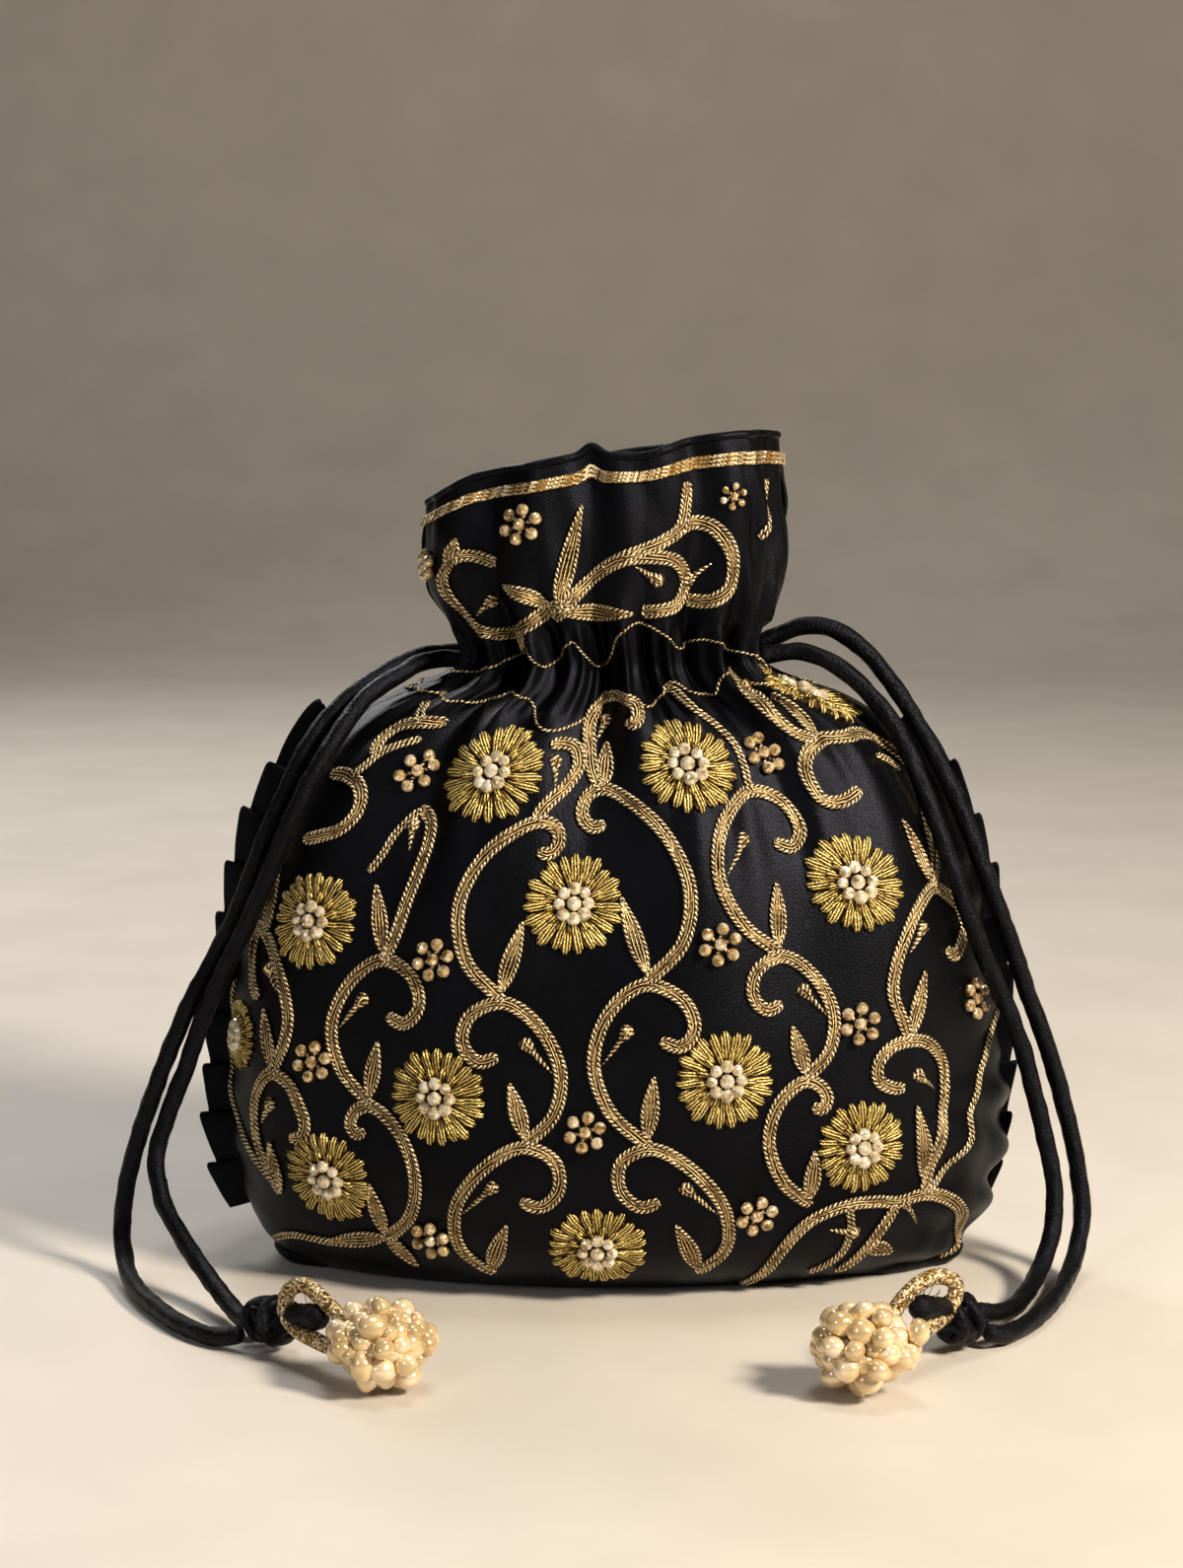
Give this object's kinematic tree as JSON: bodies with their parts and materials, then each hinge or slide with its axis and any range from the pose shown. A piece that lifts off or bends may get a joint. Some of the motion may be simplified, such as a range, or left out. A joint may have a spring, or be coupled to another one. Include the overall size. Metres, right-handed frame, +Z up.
{
  "type": "potli bag",
  "caption": "Gathered drawstring pouch of dark satin with raised gold thread embroidery, a pleated side frill and cord ends with pearl tassels.",
  "frame": {"origin": "centre of the standing bag's base, on the surface that it stands on", "axes": "+Z up, -Y towards the embroidered front, +X to the right as seen from the front"},
  "size_m": [0.2648, 0.1857, 0.2289],
  "materials": {
    "satin": "black satin, soft sheen",
    "lining_satin": "plain black lining satin",
    "zari_thread": "twisted metallic gold thread",
    "gold_beads": "champagne gold beads",
    "drawstring_satin": "black satin cord",
    "pearls": "glossy ivory imitation pearls"
  },
  "bodies": {
    "root": {"front_panel": "satin", "back_panel": "satin", "left_frill": "satin", "right_frill": "satin", "lining": "lining_satin", "rim_braid": "zari_thread", "collar_scroll_left": "zari_thread", "collar_scroll_right": "zari_thread", "far_left_vine": "zari_thread", "left_vine": "zari_thread", "mid_left_vine": "zari_thread", "middle_vine": "zari_thread", "mid_right_vine": "zari_thread", "right_vine": "zari_thread", "far_left_scroll": "zari_thread", "rosette_upper_left": "zari_thread", "rosette_upper_right": "zari_thread", "rosette_shoulder_right": "zari_thread", "rosette_centre": "zari_thread", "rosette_right": "zari_thread", "rosette_far_left": "zari_thread", "rosette_edge_left": "zari_thread", "rosette_mid_left": "zari_thread", "rosette_mid_right": "zari_thread", "rosette_lower_left": "zari_thread", "rosette_lower_right": "zari_thread", "rosette_bottom": "zari_thread", "left_gold_loop": "zari_thread", "right_gold_loop": "zari_thread", "floret_collar_edge": "gold_beads", "floret_upper_left": "gold_beads", "floret_upper_right": "gold_beads", "floret_mid_left": "gold_beads", "floret_mid_right": "gold_beads", "floret_right": "gold_beads", "floret_far_right": "gold_beads", "floret_far_left": "gold_beads", "floret_middle": "gold_beads", "floret_low_right": "gold_beads", "floret_low_left": "gold_beads", "floret_collar_left": "gold_beads", "floret_collar_right": "gold_beads", "left_strand_front": "drawstring_satin", "left_strand_rear": "drawstring_satin", "right_strand_front": "drawstring_satin", "right_strand_rear": "drawstring_satin", "left_casing_cord": "drawstring_satin", "right_casing_cord": "drawstring_satin", "left_knot": "drawstring_satin", "right_knot": "drawstring_satin", "left_pearls": "pearls", "right_pearls": "pearls"}
  },
  "joints": []
}
